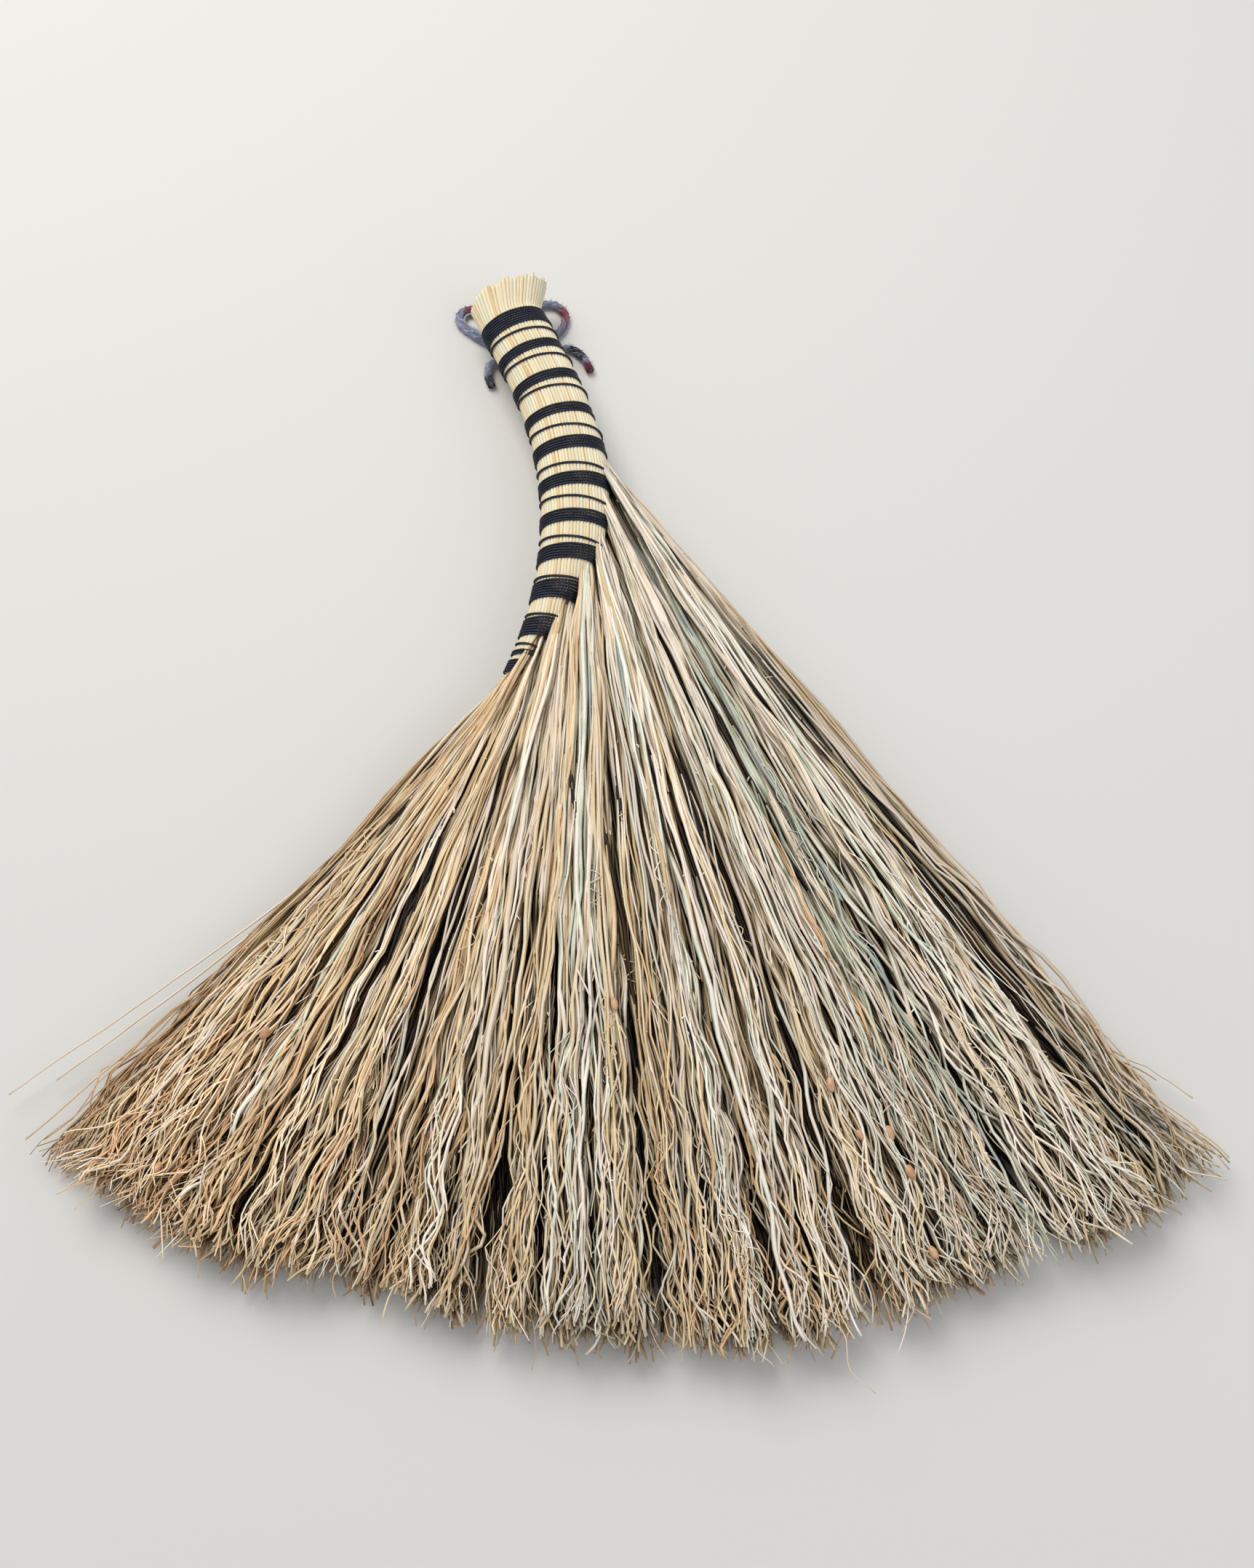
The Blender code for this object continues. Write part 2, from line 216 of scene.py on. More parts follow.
def straw(name, stops, roughness, blotch_length, blotch_tint, streak_count):
    """A skin of straw: blotches and fine lines that run along each strand, darkened by its shade."""
    made, tree, shader = new_material(name)
    tint = add(tree, "ShaderNodeAttribute", attribute_name="tint").outputs["Fac"]
    shade = add(tree, "ShaderNodeAttribute", attribute_name="shade").outputs["Fac"]
    run = add(tree, "ShaderNodeAttribute", attribute_name="run").outputs["Fac"]
    skin = add(tree, "ShaderNodeUVMap", uv_map="UVMap")
    parts = add(tree, "ShaderNodeSeparateXYZ", {"Vector": skin.outputs["UV"]})
    around = add(tree, "ShaderNodeMath", {0: parts.outputs["X"], 1: streak_count}, operation="MULTIPLY")
    along = add(tree, "ShaderNodeMath", {0: run, 1: 1 / blotch_length}, operation="MULTIPLY")
    own = add(tree, "ShaderNodeMath", {0: tint, 1: pattern_shift}, operation="MULTIPLY")
    place = add(
        tree,
        "ShaderNodeCombineXYZ",
        {"X": around.outputs[0], "Y": along.outputs[0], "Z": own.outputs[0]},
    )
    blotch = add(tree, "ShaderNodeTexNoise", {"Vector": place.outputs[0], "Scale": 1.0, "Detail": 3.0})
    moved = varied(tree, tint, blotch.outputs["Fac"], blotch_tint)
    base = add(tree, "ShaderNodeValToRGB", {"Fac": moved.outputs[0]}, stops)
    green = add(tree, "ShaderNodeMath", {0: shade, 1: green_fade}, operation="POWER")
    blue = add(tree, "ShaderNodeMath", {0: shade, 1: blue_fade}, operation="POWER")
    dim = add(
        tree,
        "ShaderNodeCombineColor",
        {"Red": shade, "Green": green.outputs[0], "Blue": blue.outputs[0]},
    )
    dark = add(
        tree,
        "ShaderNodeMix",
        {mix_share: 1.0, mix_a: base.outputs["Color"], mix_b: dim.outputs[0]},
        data_type="RGBA",
        blend_type="MULTIPLY",
    )
    tree.links.new(dark.outputs[mix_result], shader.inputs["Base Color"])
    lines = add(
        tree,
        "ShaderNodeTexNoise",
        {"Vector": place.outputs[0], "Scale": lines_per_blotch, "Detail": 2.0},
    )
    relief = add(
        tree,
        "ShaderNodeBump",
        {"Height": lines.outputs["Fac"], "Strength": 0.35, "Distance": line_depth},
    )
    tree.links.new(relief.outputs["Normal"], shader.inputs["Normal"])
    shader.inputs["Roughness"].default_value = roughness
    shader.inputs["Specular IOR Level"].default_value = 0.35
    return made


stalk_straw = straw(
    "broomcorn_stalk_silky",
    stalk_stops,
    roughness=0.48,
    blotch_length=9 * MM,
    blotch_tint=0.08,
    streak_count=3.0,
)
hurl_straw = straw(
    "broomcorn_hurl_dry",
    hurl_stops,
    roughness=0.58,
    blotch_length=14 * MM,
    blotch_tint=0.1,
    streak_count=2.0,
)

# %% [markdown]
# The cord is twisted from three plies and drawn through wax: nearly black, with a navy sheen where it
# faces the sky. The wax fills the twist, so it is smoother than bare twine. The yarn is soft wool, dyed
# in stretches of blue, lilac, crimson and charcoal: its dye value is a place on a ramp of those colours,
# and its fibres scatter light, so it is quite matt. A seed's husk is thin, hard and a little glossy.
# Each gets a fine mottle on Object coordinates, whose scale comes from the real distance between two
# spots.

# %% Waxed cord, wool yarn, seed husks
# Spots of wax lie about 1.1 mm apart, flecks of wool 1.4 mm and those of a husk 2 mm.
wax_grain = MM / 0.9
fleck_spacing = MM / 0.7
husk_grain = 2 * MM
fleck_tint = 0.07
cord_stops = ((0.3, "0A0D17"), (0.7, "1A2239"))
husk_stops = ((0.3, "B58561"), (0.7, "DBAF87"))
yarn_stops = (
    (0.0, "4A1C2C"),
    (0.2, "9E3A55"),
    (0.4, "8A8893"),
    (0.6, "7B84A0"),
    (0.8, "AEB2C6"),
    (1.0, "221F28"),
)


def mottle(tree, spacing):
    """A fine noise whose spots lie this far apart on the piece."""
    place = add(tree, "ShaderNodeTexCoord").outputs["Object"]
    noise = add(tree, "ShaderNodeTexNoise", {"Vector": place, "Scale": 1 / spacing, "Detail": 2.0})
    return noise.outputs["Fac"]


cord_material, tree, shader = new_material("waxed_linen_cord")
navy = add(tree, "ShaderNodeValToRGB", {"Fac": mottle(tree, wax_grain)}, cord_stops)
tree.links.new(navy.outputs["Color"], shader.inputs["Base Color"])
shader.inputs["Roughness"].default_value = 0.42
shader.inputs["Specular IOR Level"].default_value = 0.5

yarn_material, tree, shader = new_material("variegated_wool_yarn")
dye = add(tree, "ShaderNodeAttribute", attribute_name="tint").outputs["Fac"]
heather = varied(tree, dye, mottle(tree, fleck_spacing), fleck_tint)
wool = add(tree, "ShaderNodeValToRGB", {"Fac": heather.outputs[0]}, yarn_stops)
tree.links.new(wool.outputs["Color"], shader.inputs["Base Color"])
shader.inputs["Roughness"].default_value = 0.95
shader.inputs["Sheen Weight"].default_value = 0.3

seed_material, tree, shader = new_material("sorghum_seed_husk")
husk = add(tree, "ShaderNodeValToRGB", {"Fac": mottle(tree, husk_grain)}, husk_stops)
tree.links.new(husk.outputs["Color"], shader.inputs["Base Color"])
shader.inputs["Roughness"].default_value = 0.4
print("materials:", sorted(made.name for made in bpy.data.materials))

# %% [markdown]
# One helper draws everything that is long and thin. A curve object holds one poly spline for each
# strand, and its bevel gives each spline a round section whose radius may change from point to point.
# Blender turns the whole curve into one mesh. It puts the caps first, the last strand's before the
# others, and then the tubes in order, so the strands' own values can be laid on its vertices. The caps
# are then welded on, so that each strand is a closed body.

# %% From lines to strands
weld_reach = 0.0001 * MM


def run_of(line):
    """The distance along a line, from its start."""
    return np.concatenate(([0], np.cumsum(np.linalg.norm(np.diff(line, axis=0), axis=1))))


def strand(line, radius, tint, shade):
    """A strand of straw, with the values that its material reads."""
    return {"line": line, "radius": radius, "tint": tint, "shade": shade, "run": run_of(line)}


def sweep(name, strands, material, resolution=0):
    """One mesh of many strands: each has its line, its radii and any values that its material reads."""
    curve = bpy.data.curves.new(name, "CURVE")
    curve.dimensions = "3D"
    curve.bevel_depth = 1
    curve.bevel_resolution = resolution
    curve.use_fill_caps = True
    for each in strands:
        line = each["line"]
        places = np.column_stack((line, np.ones(len(line)))).astype(np.float32)
        spline = curve.splines.new("POLY")
        spline.points.add(len(line) - 1)
        spline.points.foreach_set("co", places.ravel())
        spline.points.foreach_set("radius", np.asarray(each["radius"], np.float32))
    held = bpy.data.objects.new(name, curve)
    scene.collection.objects.link(held)
    mesh = bpy.data.meshes.new_from_object(held.evaluated_get(bpy.context.evaluated_depsgraph_get()))
    bpy.data.objects.remove(held)
    lengths = [len(each["line"]) for each in strands]
    # Each point of a line has a ring of vertices round it, and each cap is one ring more.
    ring = len(mesh.vertices) // (sum(lengths) + 2 * len(strands))
    for value in ("tint", "shade", "run"):
        if value not in strands[0]:
            continue
        along = [np.broadcast_to(each[value], (count,)) for each, count in zip(strands, lengths)]
        caps = np.concatenate([[each[-1], each[0]] for each in reversed(along)])
        laid = np.repeat(np.concatenate((caps, np.concatenate(along))), ring)
        mesh.attributes.new(value, "FLOAT", "POINT").data.foreach_set("value", laid.astype(np.float32))
    bm = bmesh.new()
    bm.from_mesh(mesh)
    bmesh.ops.remove_doubles(bm, verts=bm.verts, dist=weld_reach)
    bm.to_mesh(mesh)
    bm.free()
    mesh.materials.clear()
    mesh.materials.append(material)
    mesh.name = name
    return mesh


def place_piece(name, mesh, body, slot, *nodes):
    """Puts a mesh in the scene as a piece that rides on a body and stands for its nodes."""
    piece = bpy.data.objects.new(name, mesh)
    scene.collection.objects.link(piece)
    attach(piece, body)
    if nodes:
        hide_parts(*nodes)
    print(f"{name}: {sum(len(face.vertices) - 2 for face in mesh.polygons)} triangles")
    return piece


# %% [markdown]
# The handle. Places along it are counted in stations, one for each band of cord, as in the model: its
# back, the left edge in the picture, runs along an arc and then straight, and the section, flatter than
# round, is set against it. The bristles were trimmed on an arc round one point, and the back is placed
# from it.

# %% The line of the handle
bundle_count = 7
band_count = 11
band_stations = np.arange(1, band_count + 1)
band_spacing = 14.4 * MM
back_radius = 156.5 * MM
back_bend = 25 * DEGREE
most_lean = 24 * DEGREE
level_station = 7
grip_width = 25.4 * MM
height_share = 0.74
width_shares = np.array((0.97, 0.95, 0.96, 0.96, 1.0, 0.99, 0.95, 0.88, 0.65, 0.44, 0.22))
stalk_bulge = 0.7 * MM
butt_length = 15 * MM
butt_width = 31 * MM
neck_share = 0.4
trim_centre_y = 132.75 * MM
back_left_of_trim = 31 * MM
back_below_trim = 41.3 * MM
butt_station = 1 - butt_length / band_spacing
axis_height = sum(corner.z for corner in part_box("stalks_4")) / 2
round_points = 400


def back(station):
    """Points of the handle's back, and its heading there."""
    along = (level_station - station) * band_spacing
    heading = np.minimum(along / back_radius, back_bend)
    straight = along - heading * back_radius
    x = back_radius * np.cos(heading) - straight * np.sin(heading) - back_left_of_trim - back_radius
    y = back_radius * np.sin(heading) + straight * np.cos(heading) + trim_centre_y - back_below_trim
    return np.stack((x, y, np.full_like(x, axis_height)), -1), heading


def half_width(station):
    """Half the bound stalks' width: flared at the cut end, drawn in at each band, bulging between two."""
    flare = np.maximum(0, (1 - station) * band_spacing / butt_length - neck_share) / (1 - neck_share)
    shares = np.interp(station, band_stations, width_shares)
    bulge = np.where(station > 1, np.abs(np.sin(math.pi * station)) * stalk_bulge, 0)
    first = width_shares[0] * grip_width
    return np.where(station < 1, first + (butt_width - first) * flare, shares * grip_width + bulge) / 2


def on_handle(station, turn, share=1.0, lift=0.0):
    """A point in the handle: turn is the angle from its right side, share how far out it lies."""
    station, turn = np.broadcast_arrays(np.asarray(station, float), np.asarray(turn, float))
    start, heading = back(station)
    lean = np.clip(heading, 0, most_lean)
    side = np.stack((np.cos(lean), np.sin(lean), np.zeros_like(lean)), -1)
    half = half_width(station)[..., None]
    across, rise = np.cos(turn)[..., None] * side, np.sin(turn)[..., None] * UP
    out = half * np.asarray(share)[..., None] * (across + height_share * rise) + lift * (across + rise)
    return start + half * side + out


round_turns = np.linspace(math.pi, 0, round_points)
round_steps = np.hypot(np.sin(round_turns), height_share * np.cos(round_turns))
round_steps = round_steps * (math.pi / (round_points - 1))
round_lengths = np.cumsum(round_steps) - round_steps[0]
print("handle half widths at its bands, mm:", np.round(half_width(band_stations.astype(float)) / MM, 1))

# %% [markdown]
# Stalks. From outside, a bound handle shows one layer of stalks lying side by side, all parallel to its
# back. Each runs from the cut end until the narrowing handle brings it to the right side, where it
# leaves under a band. So a stalk is set by its distance round from the back, and its bundle by the band
# where it leaves. Each is a little wider than its place, so that no gap shows. Most are straw, a few
# greenish or tan.

# %% Stalks side by side
chance = np.random.default_rng(seed=58)
stalk_width = 1.26 * MM
stalk_shift = 0.12
stalk_radii = (0.53, 0.6)
most_spread = 1.15
stalk_waver = 0.05 * MM
# These four are counted in stations.
station_step = 0.12
past_band = 0.12
cut_unevenness = 0.06
cut_beyond = 0.1

stalk_tints = (0.45, 0.15, 0.68)
stalk_tint_shares = (0.76, 0.12, 0.12)
stalk_tint_spread = 0.06
darkest_stalk = 0.75
stalk_shades = (0.9, 1.0)
first_exit = band_count + 1 - bundle_count


def stalk_colour():
    """Tint and shade of one stalk."""
    kind = chance.choice(stalk_tints, p=stalk_tint_shares)
    tint = np.clip(chance.normal(kind, stalk_tint_spread), 0.0, darkest_stalk)
    return float(tint), float(chance.uniform(*stalk_shades))


def leaving_band(distance):
    """The last band that holds a stalk this far round from the back, of those where bundles leave."""
    reach = round_lengths[-1] * half_width(band_stations.astype(float))
    held = band_stations[distance <= reach - stalk_width / 2]
    return int(held.max(initial=first_exit))


stalks = {bundle: [] for bundle in range(1, bundle_count + 1)}
widest_round = round_lengths[-1] * half_width(np.array(float(first_exit)))
for face in (1, -1):
    for index in range(int(widest_round / stalk_width)):
        distance = (index + 0.5 + chance.uniform(-stalk_shift, stalk_shift)) * stalk_width
        last = leaving_band(distance)
        first = butt_station - cut_beyond + chance.uniform(-cut_unevenness, cut_unevenness)
        stations = np.arange(first, last + past_band + station_step / 2, station_step)
        half = half_width(stations)
        spread = np.where(stations < 1, half / half_width(np.array(1.0)), 1)
        turn = np.interp(distance * spread / half, round_lengths, round_turns)
        radius = stalk_width * chance.uniform(*stalk_radii) * np.minimum(spread, most_spread)
        line = on_handle(stations, face * turn, 1 - radius / half)
        waver = np.sin(stations * chance.uniform(0.6, 1.6) + chance.uniform(0, 6))
        line[:, 2] += face * stalk_waver * waver
        stalks[band_count + 1 - last].append(strand(line, radius, *stalk_colour()))

# %% [markdown]
# The cut end shows every stalk of the bundles, packed close: a hard pale rind round a soft pith. The
# ones inside are short stubs here, since the binding hides the rest. Their ends are a little uneven, and
# those in the middle stand out furthest. The bundles lie side by side, so a stub's place across tells
# its bundle.

# %% Stubs at the cut end
stub_pitch = 1.5 * MM
stub_radii = (0.44, 0.53)
stub_shift = 0.1 * MM
stub_points = 3
stub_shade = 0.95
stub_rows = 9
# These two are counted in stations.
stub_length = 1.2
middle_stands_out = 0.07

row_rise = stub_pitch * math.sqrt(3) / 2 / height_share
butt_half = butt_width / 2
rim_share = (butt_half - 1.5 * stub_pitch) / butt_half
bundle_edges = np.array((-1, -0.63, -0.36, -0.12, 0.12, 0.36, 0.63, 1.0))
for row in range(-stub_rows, stub_rows + 1):
    for column in range(-stub_rows, stub_rows + 1):
        across = (column + 0.5 * (row % 2)) * stub_pitch + chance.normal(0, stub_shift)
        rise = row * row_rise + chance.normal(0, stub_shift)
        share = math.hypot(across, rise) / butt_half
        if share > rim_share:
            continue
        bundle = int(np.clip(np.searchsorted(bundle_edges, across / butt_half), 1, bundle_count))
        first = butt_station - cut_beyond - middle_stands_out * (1 - share**2)
        first += chance.uniform(-cut_unevenness, cut_unevenness)
        stations = np.linspace(first, butt_station + stub_length, stub_points)
        line = on_handle(stations, math.atan2(rise, across), share)
        tint, shade = stalk_colour()
        radius = np.full(stub_points, stub_pitch * chance.uniform(*stub_radii))
        stalks[bundle].append(strand(line, radius, tint, shade * stub_shade))

for bundle, held in stalks.items():
    mesh = sweep(f"stalk_bundle_{bundle}", held, stalk_straw, resolution=1)
    place_piece(f"stalk_bundle_{bundle}", mesh, "root", "stalk", f"stalks_{bundle}")

# %% [markdown]
# Inside the handle the stalks are imported solid, and no light comes through from the other side. Nobody
# sees them one by one, so a few thick rods stand for them, brown and darkened with painted shade for the
# shadow inside the handle, each as thick as its place in the section allows.

# %% The stalks inside
heart_rods = 7
heart_reach = 0.6
thinnest_rod = 0.3 * MM
room_above = 0.8 * stalk_width
room_beside = 0.7 * stalk_width
stations = np.arange(butt_station + 0.5, band_count + 0.2, station_step)
half = half_width(stations)
rods = []
for across in np.linspace(-heart_reach, heart_reach, heart_rods):
    line = on_handle(stations, 0.0 if across >= 0 else math.pi, abs(across))
    radius = np.maximum(height_share * half * math.sqrt(1 - across**2) - room_above, thinnest_rod)
    radius = np.minimum(radius, half * (1 - abs(across)) - room_beside)
    # A brown tint and a low shade: painted shade, for the dark inside of the handle.
    rods.append(strand(line, radius, tint=0.9, shade=0.35))
place_piece("stalk_heart", sweep("stalk_heart", rods, stalk_straw, resolution=4), "root", "stalk")

# %% [markdown]
# The binding is one cord from end to end. Each band is a few close turns, then a single turn runs on
# over the stalks to the next band. Three plies are drawn as three thin tubes that wind round the cord's
# own line. A turn starts underneath, and the lead shares say how far on its way a single turn is where
# it crosses the front. The first two turns of the last band lie apart from the others.

# %% Bands of cord
cord_diameter = 1.0 * MM
cord_pitch = 1.04 * MM
cord_lay = 3.2 * MM
cord_ply_radius = 0.27 * cord_diameter
cord_seat = 0.33 * MM
cord_plies = 3
points_per_lay = 7
points_per_turn = 48
band_turns = (7, 4, 4, 4, 5, 5, 5, 6, 7, 7, 7)
lead_shares = (0.36, 0.33, 0.27, 0.53, 0.65, 0.5, 0.72, 0.9, 0.9, 0.5)
quarters = (0, 0.25, 0.5, 0.75, 1)
parted_turns = 2
parted_by = 0.12  # in stations
turn_step = cord_pitch / band_spacing


def band_line(band):
    """The line of a band's turns and of the single turn that leads on from it."""
    turns = band_turns[band - 1]
    start = band - turns * turn_step / 2
    share = np.arange(turns * points_per_turn + 1) / points_per_turn
    station = start + share * turn_step
    if band == band_count:
        crossing = np.interp(share, (parted_turns - 0.25, parted_turns + 0.25), (0, parted_by))
        station += np.where(share < parted_turns, crossing - parted_by, 0)
    else:
        leaves = start + turns * turn_step
        following = band + 1 - band_turns[band] * turn_step / 2
        front = lead_shares[band - 1]
        marks = (0, max(front - 0.2, 0.05), front, min(front + 0.22, 0.97), 1)
        on = np.arange(1, points_per_turn + 1) / points_per_turn
        lead = leaves + (following - leaves) * np.interp(on, quarters, marks)
        station = np.concatenate((station, lead))
        share = np.concatenate((share, turns + on))
    return on_handle(station, -math.pi / 2 - 2 * math.pi * share, lift=cord_seat)


def resample(line, step):
    """The line again, with points a step apart."""
    run = run_of(line)
    at = np.linspace(0, run[-1], max(2, int(run[-1] / step) + 1))
    return np.stack([np.interp(at, run, line[:, i]) for i in range(3)], 1)


def plies(line, width, lay, count, points, hug=0.5):
    """The lines of plies that wind round a cord's line, at a share of its half width."""
    fine = resample(line, lay / points)
    along = np.gradient(fine, axis=0)
    along /= np.linalg.norm(along, axis=1)[:, None]
    # The reference leans a little, so that no upright stretch of cord is parallel to it.
    side = np.cross(along, UP + 0.01)
    side /= np.linalg.norm(side, axis=1)[:, None]
    over = np.cross(side, along)
    run = run_of(fine)
    made = []
    for ply in range(count):
        turn = (2 * math.pi * (run / lay + ply / count))[:, None]
        made.append(fine + width / 2 * hug * (np.cos(turn) * side + np.sin(turn) * over))
    return made


for band in range(1, band_count + 1):
    twisted = [
        {"line": ply, "radius": np.full(len(ply), cord_ply_radius)}
        for ply in plies(band_line(band), cord_diameter, cord_lay, cord_plies, points_per_lay)
    ]
    mesh = sweep(f"cord_band_{band}", twisted, cord_material)
    place_piece(f"cord_band_{band}", mesh, "root", "cord", f"binding_{band}")

# %% [markdown]
# The bristles. Under its last band a bundle holds a few dozen stems. They leave tight together, spread,
# and on the way split into fibres. All of them end near the arc on which the broom was trimmed by hand,
# so its reach varies a little round the fan. The tips gather in tufts with dark gaps between, which
# stand open most on top, and the fibres at the fan's two edges are held in.

# %% Where the bristles end
fan_half_angle = 34 * DEGREE
sector_width = 2 * fan_half_angle / bundle_count
pile_height = 20 * MM
lowest_tip = 0.8 * MM
shorter_on_top = 5 * MM
shorter_below = 5 * MM
low_share = 0.4
soft_edge = 32.5 * DEGREE
edge_give = 2.0 * DEGREE
gap_reach = 0.9 * DEGREE
gap_by_height = ((0, 0.6), (0.15, 0.3), (0.3, 0.3), (0.5, 1))

# Angles from the middle of the fan, in degrees, each with the trim's reach there in millimetres.
trim = (
    (-34, 325),
    (-20.5, 326),
    (-18.5, 321),
    (-12, 320),
    (-7, 326),
    (-3.7, 324),
    (3, 328),
    (10.4, 331),
    (18.6, 325),
    (24, 328),
    (29.3, 331),
    (34, 330),
)
trim_angles, trim_reaches = zip(*trim)

# Angles of the gaps between tufts, each with how far it pushes the tips on both its sides, in degrees.
gaps = (
    (-29.4, 0.5),
    (-26, 0.3),
    (-22.8, 0.6),
    (-19.6, 0.7),
    (-16.5, 0.35),
    (-13.6, 0.7),
    (-10.6, 0.5),
    (-8.0, 1.6),
    (-4.9, 0.35),
    (-1.7, 0.5),
    (1.9, 1.3),
    (5.4, 0.5),
    (8.3, 1.3),
    (10.7, 0.6),
    (13.5, 1.1),
    (17.9, 0.6),
    (20.4, 0.6),
    (23.7, 0.8),
    (26.4, 0.6),
    (30, 0.5),
)
gap_angles, gap_widths = np.array(gaps).T * DEGREE


def tip_of(angle, height, longer):
    """Where a fibre ends, by its angle in the fan and its share of the pile's height."""
    aside = angle - gap_angles
    push = np.sum(np.sign(aside) * gap_widths * np.exp(-np.abs(aside) / gap_reach))
    angle = angle + push * np.interp(height, *zip(*gap_by_height))
    over = abs(angle) - soft_edge
    if over > 0:
        angle = math.copysign(soft_edge + edge_give * math.tanh(over / edge_give), angle)
    reach = np.interp(angle / DEGREE, trim_angles, trim_reaches) * MM + longer
    reach -= shorter_on_top * height**1.5 + shorter_below * max(1 - height / low_share, 0)
    z = lowest_tip + pile_height * height
    return np.array((reach * math.sin(angle), trim_centre_y - reach * math.cos(angle), z))


print(f"the trim reaches {min(trim_reaches)} to {max(trim_reaches)} mm, with {len(gaps)} gaps")

# %% [markdown]
# A stem is a smooth curve from the handle to its place in the trim. Every strand sways slowly all the
# way, and towards the tip it waves and bends at small nodes, where seeds grew. Those bends are what
# makes the hurl look dry and wiry, so each strand gets its own, at uneven distances.

# %% How strands run and sway
# Each slow wave: its height, and the range of its length over a turn, in mm. Phases are in radians.
slow_sway = ((0.7 * MM, (9, 22)), (0.9 * MM, (25, 45)))
phases = (0, 6.3)
wave_lengths = (3, 6.5)
wave_share = 0.6
node_spacing = (3.5 * MM, 12 * MM)
node_count = 54
stiff_share = 0.25
least_bend = 0.1 * MM
most_grown = 1.1


def hermite(start, end, leave, arrive, t):
    """Points of a cubic from start to end with the given speeds at its ends."""
    t = np.asarray(t)[:, None]
    return (
        (2 * t**3 - 3 * t**2 + 1) * start
        + (t**3 - 2 * t**2 + t) * leave
        + (3 * t**2 - 2 * t**3) * end
        + (t**3 - t**2) * arrive
    )


def new_sway(length, curl):
    """A strand's offsets as a function: a slow sway, then waves and bends that grow towards the tip."""
    slow_waves = [(size, chance.uniform(*lengths) * MM) for size, lengths in slow_sway]
    starts = chance.uniform(*phases, 3)
    wave_length = chance.uniform(*wave_lengths) * MM
    knots = np.cumsum(chance.uniform(*node_spacing, node_count))
    grown = np.clip((knots / length - stiff_share) / (1 - stiff_share), 0, most_grown) ** 1.5
    steps = chance.normal(0, 1, node_count) * (least_bend + curl * grown)

    def offsets(t):
        run = t * length
        slow = sum(size * np.sin(run / wave + first) for (size, wave), first in zip(slow_waves, starts))
        wave = wave_share * curl * t**2.5 * np.sin(run / wave_length + starts[2])
        bends = np.interp(run, knots, steps)
        bends[1:-1] = (bends[:-2] + 2 * bends[1:-1] + bends[2:]) / 4
        return slow * np.clip(t / 0.3, 0, 1) + wave + bends

    return offsets


# %% [markdown]
# The stems of a bundle fill the part of the handle that leaves at its band. They are packed in rows like
# pipes, and a stem's place in the handle sets its place in the fan: from side to side, and from the
# underside to the top of the pile.

# %% Stems in a bundle
stem_width = 1.4 * MM
first_stem_pitch = 0.75
stem_pitch = 0.95
row_pitch = 0.87
rim_reach = 0.97

# Where across the handle each bundle's part begins, from -1 at the back to 1 at the right side.
leaving_from = {1: -1.0, 2: 0.0, 3: 0.26, 4: 0.4, 5: 0.49, 6: 0.57, 7: 0.63}


def stem_roots(bundle):
    """Places of the stems in what leaves: across and up in shares of the half width, and side to side."""
    half = half_width(np.array(float(band_count + 1 - bundle)))
    low = leaving_from[bundle]
    width = stem_width * (first_stem_pitch if bundle == 1 else stem_pitch)
    step, rise = width / half, width * row_pitch / half / height_share
    roots = []
    for row, up in enumerate(np.arange(-1 + rise / 2, 1, rise)):
        for across in np.arange(low + step * (0.5 + 0.5 * (row % 2)), 1, step):
            if math.hypot(across, up) < rim_reach - step / 2:
                roots.append((across, up, (across - low) / (1 - low)))
    return roots


def tapered(line, width, taper, tint, shade, swell=0.0):
    """A strand that tapers to its tip, and swells from a thin start over a share of its length."""
    t = np.linspace(0, 1, len(line))
    radius = width / 2 * (1 - taper * t**1.4)
    if swell:
        radius = radius * np.interp(t, (0, swell), (0.3, 1))
    line[:, 2] = np.maximum(line[:, 2], radius)
    tint = np.clip(np.broadcast_to(tint, (len(line),)), 0.0, 1.0)
    return strand(line, radius, tint, shade)


print("stems in each bundle:", [len(stem_roots(bundle)) for bundle in range(1, bundle_count + 1)])

# %% [markdown]
# A fibre leaves its stem where it splits off, and ends at its own place in the trim. Seven at a time
# share one sway, as a lock of hair does, which draws the tips together into tufts. Fibres are white and
# grey green towards the right of the fan, orange tan towards the left, and those of the first bundles
# are finer, curlier and paler at their tips. Among them run a few thick strands, nearly black with
# painted shade for the dark depth of the pile, so that no light comes through it.

# %% Fibres of one bundle
# The stems, which lead the fibres on their way.
sector_overlap = 1.15
leave_speed = 22 * MM
stem_shift = 0.15
stem_angle_spread = 0.3 * DEGREE
stem_reach_spread = 2 * MM
stem_taper = 0.5

# The fibres. A split is the share of a stem's length at which a fibre leaves it.
fibres_per_bundle = 500
fibre_width = 0.92 * MM
most_width = 2.1 * MM
width_spread = 0.28
fineness = {1: 0.76, 2: 0.9}
fibre_taper = 0.42
fibre_swell = 0.1
early_split = (0.03, 0.25)
late_split = (0.2, 0.6)
fibre_angle_spread = 0.5 * DEGREE
fibre_height_spread = 0.06
long_fibre = (3, 8)
long_fibre_share = 0.015
most_curl = 1.45 * MM
curl_spread = 0.5
curliness = {1: 1.3, 2: 1.15, 3: 1.05}
free_after = 0.12
tip_splay = 2 * MM
shown_spacing = 5 * MM
hidden_spacing = 9 * MM

# The locks, which hold the fibres together.
fibres_per_lock = 7
lock_curls = (0.7, 1.9)
lock_sideways, lock_upwards = 0.8, 0.6
lock_angle_spread = 1.0 * DEGREE
lock_height_spread = 0.11
lock_reach_spread = 2.4 * MM
lock_tints = (0, -0.15, 0.1)
lock_tint_shares = (0.66, 0.2, 0.14)
lock_tint_spread = 0.035

